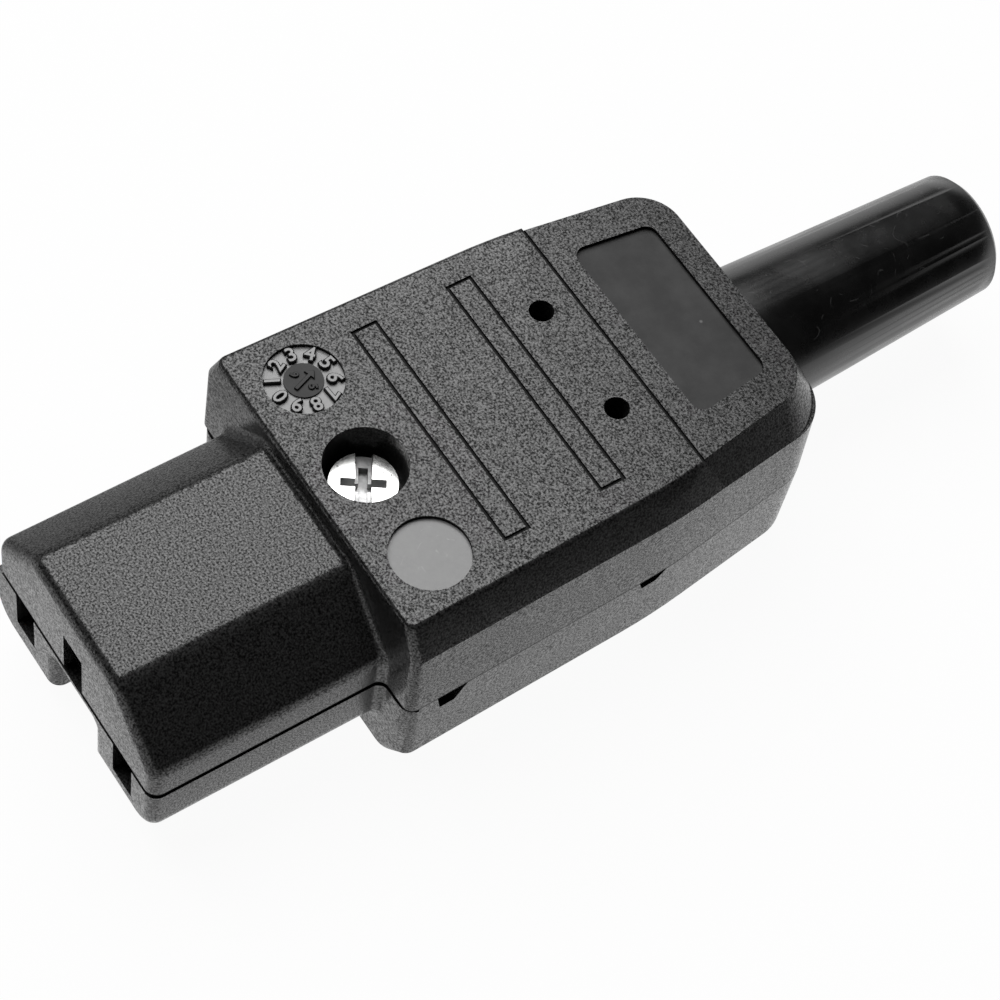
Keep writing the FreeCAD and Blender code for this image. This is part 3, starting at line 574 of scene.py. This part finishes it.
def textMesh(letter, style):
    curve = bpy.data.curves.new("numeral", "FONT")
    curve.body = letter
    curve.size = style["size"] * mm
    curve.align_x = "CENTER"
    curve.align_y = "CENTER"
    curve.offset = style["bold"] * mm
    curve.extrude = ((style["below"] - style["above"]) / 2 - style["rim"]) * mm
    curve.bevel_depth = style["rim"] * mm
    curve.bevel_resolution = 0
    curve.resolution_u = 3
    holder = bpy.data.objects.new("numeral", curve)
    bpy.context.scene.collection.objects.link(holder)
    bpy.context.view_layer.update()
    solved = holder.evaluated_get(bpy.context.evaluated_depsgraph_get())
    mesh = bpy.data.meshes.new_from_object(solved)
    bpy.data.objects.remove(holder)
    bpy.data.curves.remove(curve)
    return mesh


def addNumeral(bm, letter, place, turn, style):
    mesh = textMesh(letter, style)
    centre = wheelCentre + Vector((place[0] * mm, place[1] * mm, 0))
    centre.z = topZ - (style["below"] + style["above"]) / 2 * mm
    mesh.transform(Matrix.Translation(centre) @ Matrix.Rotation(turn, 4, "Z"))
    bm.from_mesh(mesh)
    bpy.data.meshes.remove(mesh)


def closeRelief(bm, name, finish, above):
    bmesh.ops.remove_doubles(bm, verts=bm.verts, dist=weld)
    bm.normal_update()
    # faces under the crown take the painted groove shade on their sides and rims
    for face in bm.faces:
        crowned = face.normal.z > topMarks["level"] and face.calc_center_median().z > above
        face.material_index = 0 if crowned else 1
    finishPiece(bm, name, [finish, grooveShadeFinish])


def makeNumerals(look):  # a pale face on each body painted black as shade
    bm = bmesh.new()
    for count, letter in enumerate(look["numerals"]):
        angle = math.radians(look["first"] - look["step"] * count)
        place = [part * look["ringRadius"] for part in (math.cos(angle), math.sin(angle))]
        for style in (look["body"], look["face"]):
            addNumeral(bm, letter, place, angle - math.pi / 2, style)
    crown = topZ - (look["body"]["above"] - look["hair"]) * mm
    closeRelief(bm, "wheelNumerals", wheelMark, crown)


def makePointer(look):
    bm = bmesh.new()
    tail, tip = Vector(look["tail"]), Vector(look["tip"])
    along = (tip - tail).normalized()
    across = Vector((along.y, -along.x))
    neck = tip - along * look["head"]
    shaft, barb = across * look["shaft"], across * look["barb"]
    corners = [tail + shaft, neck + shaft, neck + barb, tip, neck - barb, neck - shaft, tail - shaft]
    foot = topZ - look["below"] * mm
    crown = topZ - look["above"] * mm
    spots = [wheelCentre.xy + corner * mm for corner in corners]
    flat = bm.faces.new([bm.verts.new((spot.x, spot.y, foot)) for spot in spots])
    lifted = bmesh.ops.extrude_face_region(bm, geom=[flat])["geom"]
    raised = [part for part in lifted if isinstance(part, bmesh.types.BMVert)]
    bmesh.ops.translate(bm, verts=raised, vec=(0, 0, crown - foot))
    bmesh.ops.recalc_face_normals(bm, faces=bm.faces)
    brim = [edge for edge in bm.edges if all(vert.co.z > crown - look["hair"] * mm for vert in edge.verts)]
    bmesh.ops.bevel(bm, geom=brim, offset=look["rim"] * mm, offset_type="OFFSET", affect="EDGES",
                    segments=1, profile=0.5, material=-1)
    for letter, place in look["numerals"]:
        addNumeral(bm, letter, place, math.radians(look["turn"]), look["small"])
    closeRelief(bm, "wheelPointer", smoothPanel, topZ - topMarks["hubSink"])


makeNumerals(wheelLook)
makePointer(pointerLook)
print("date wheel numbered")


# metal and inner pieces

screwLook = {
    "edge": 0.10 * mm,  # left round outside the flat top
    "rimReach": 0.45 * mm,
    "drive": 1.5 * mm,  # depth of the slot and cross
    "driveReach": 2.0 * mm,
}


def makeHousingScrew(look):
    bm = mergedCopy("housing_screw")
    low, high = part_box("housing_screw")
    axis = Vector(((low.x + high.x) / 2, (low.y + high.y) / 2, 0))
    radius = (high.x - low.x) / 2
    for vert in bm.verts:
        spread = (vert.co - axis).xy
        if vert.co.z > high.z - near and spread.length > radius - look["rimReach"]:
            spread *= (radius - look["edge"]) / spread.length
            vert.co.xy = axis.xy + spread
    # faces sunk in the slot and cross take the darker steel, painted shade in the drive
    for face in bm.faces:
        middle = face.calc_center_median()
        sunk = high.z - look["drive"] < middle.z < high.z - near
        inDrive = sunk and (middle - axis).xy.length < look["driveReach"]
        face.material_index = 1 if inDrive else 0
    smoothByAngle(bm, smoothing["metal"])
    finishes = [metals["platedSteel"], metals["shadedDriveSteel"]]
    piece = finishPiece(bm, "housingPanScrew", finishes)
    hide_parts("housing_screw")


def dressInner(degrees):
    steel, brass, spring = [metals[name] for name in ("platedSteel", "contactBrass", "springSteel")]
    standIn("housing_nut", "housingHexNut", steel, degrees)
    for pole in ("line", "neutral", "earth"):
        standIn(pole + "_contact", pole + "HairpinContact", brass, degrees)
        standIn(pole + "_contact_spring", pole + "OverSpring", spring, degrees)
        standIn(pole + "_terminal_clamp", pole + "CageClamp", brass, degrees)
        standIn(pole + "_terminal_screw", pole + "ClampScrew", steel, degrees)
    standIn("cord_clamp", "cordStrap", clampPlastic, degrees)
    for side in ("left", "right"):
        standIn("cord_clamp_screw_" + side, side + "StrapScrew", steel, degrees)


makeHousingScrew(screwLook)
dressInner(smoothing["metal"])
print("inner pieces dressed")


# floor, light and world

floorLook = {
    "radius": 2.4, "sweep": 0.5, "wall": 0.55,
    "steps": 64, "weld": 0.1 * mm,
    "colour": 0.95,
    "glow": 0.95,
    "middle": (0.030, -0.004, 0.0),  # the sheet fades in reflections away from here
    "darkSides": [
        {"toward": (0.927, 0.375, 0.0), "turn": (0.45, 0.85), "reach": (0.012, 0.034), "share": 0.97},
        {"toward": (-0.975, -0.220, 0.0), "turn": (0.84, 0.95), "reach": (0.042, 0.074), "share": 0.80},
    ],
}


def addFade(tree, look):  # 1 near the part, less far off on the dark sides
    away = addNode(tree, "ShaderNodeVectorMath", {"operation": "SUBTRACT"}, {1: look["middle"]})
    tree.links.new(addNode(tree, "ShaderNodeTexCoord").outputs["Object"], away.inputs[0])
    reach = addNode(tree, "ShaderNodeVectorMath", {"operation": "LENGTH"})
    tree.links.new(away.outputs["Vector"], reach.inputs[0])
    heading = addNode(tree, "ShaderNodeVectorMath", {"operation": "NORMALIZE"})
    tree.links.new(away.outputs["Vector"], heading.inputs[0])
    shade = 0.0
    for side in look["darkSides"]:
        turned = addNode(tree, "ShaderNodeVectorMath", {"operation": "DOT_PRODUCT"}, {1: side["toward"]})
        tree.links.new(heading.outputs["Vector"], turned.inputs[0])
        mask = addRange(tree, turned.outputs["Value"], *side["turn"], 0.0, side["share"])
        distant = addRange(tree, reach.outputs["Value"], *side["reach"])
        shade = addMath(tree, "MAXIMUM", addMath(tree, "MULTIPLY", distant, mask), shade)
    return addMath(tree, "SUBTRACT", 1.0, shade)


def makePaper(look):  # white to the camera and in reflections, and it still takes the shadow
    material = bpy.data.materials.new("paleFloor")
    material.use_nodes = True
    tree = material.node_tree
    tree.nodes.clear()
    ray = addNode(tree, "ShaderNodeLightPath")
    seen = addMath(tree, "MAXIMUM", ray.outputs["Is Camera Ray"], ray.outputs["Is Glossy Ray"])
    seen = addMath(tree, "MAXIMUM", seen, ray.outputs["Is Transmission Ray"])
    paper = addNode(tree, "ShaderNodeBsdfDiffuse", None, {"Color": grey(look["colour"])})
    glow = addNode(tree, "ShaderNodeEmission", None, {"Color": grey(1.0)})
    strength = addMath(tree, "MAXIMUM", ray.outputs["Is Camera Ray"], addFade(tree, look))
    tree.links.new(strength, glow.inputs["Strength"])
    blend = addNode(tree, "ShaderNodeMixShader")
    tree.links.new(addMath(tree, "MULTIPLY", seen, look["glow"]), blend.inputs[0])
    tree.links.new(paper.outputs[0], blend.inputs[1])
    tree.links.new(glow.outputs[0], blend.inputs[2])
    finish = addNode(tree, "ShaderNodeOutputMaterial")
    tree.links.new(blend.outputs[0], finish.inputs["Surface"])
    return material


def makeFloor(look):
    bm = bmesh.new()
    start = bm.verts.new((0, 0, 0))
    edge = bm.verts.new((look["radius"], 0, 0))
    flat = bm.edges.new((start, edge))
    rise = bm.verts.new((look["radius"] + look["sweep"], 0, look["wall"]))
    lift = bm.edges.new((edge, rise))
    bmesh.ops.spin(bm, geom=[start, edge, rise, flat, lift], cent=(0, 0, 0), axis=(0, 0, 1),
                   angle=math.tau, steps=look["steps"], use_merge=True)
    bmesh.ops.remove_doubles(bm, verts=bm.verts, dist=look["weld"])
    bmesh.ops.recalc_face_normals(bm, faces=bm.faces)
    mesh = bpy.data.meshes.new("paleFloor")
    bm.to_mesh(mesh)
    bm.free()
    mesh.materials.append(makePaper(look))
    floor = bpy.data.objects.new("paleFloor", mesh)
    bpy.context.scene.collection.objects.link(floor)


makeFloor(floorLook)

softboxLook = {
    "aim": (0, 38, 5),  # millimetres from the nose's front
    "from": (-0.51, 0.02, 0.85), "distance": 0.60,
    "size": 0.60,
    "power": 4.6,
}


def addSoftbox(look):
    lamp = bpy.data.lights.new("softbox", "AREA")
    lamp.shape = "SQUARE"
    lamp.size = look["size"]
    lamp.energy = look["power"]
    holder = bpy.data.objects.new("softbox", lamp)
    toward = Vector(look["from"]).normalized()
    holder.location = fromNose(*look["aim"]) + toward * look["distance"]
    holder.rotation_mode = "QUATERNION"
    holder.rotation_quaternion = toward.to_track_quat("Z", "Y")
    bpy.context.scene.collection.objects.link(holder)


addSoftbox(softboxLook)

worldLook = {"level": 0.03}
world = bpy.data.worlds.new("dimStudio")
world.use_nodes = True
world.node_tree.nodes["Background"].inputs["Color"].default_value = grey(worldLook["level"])
bpy.context.scene.world = world
bpy.context.scene.view_settings.view_transform = "Standard"
print("floor and light set")
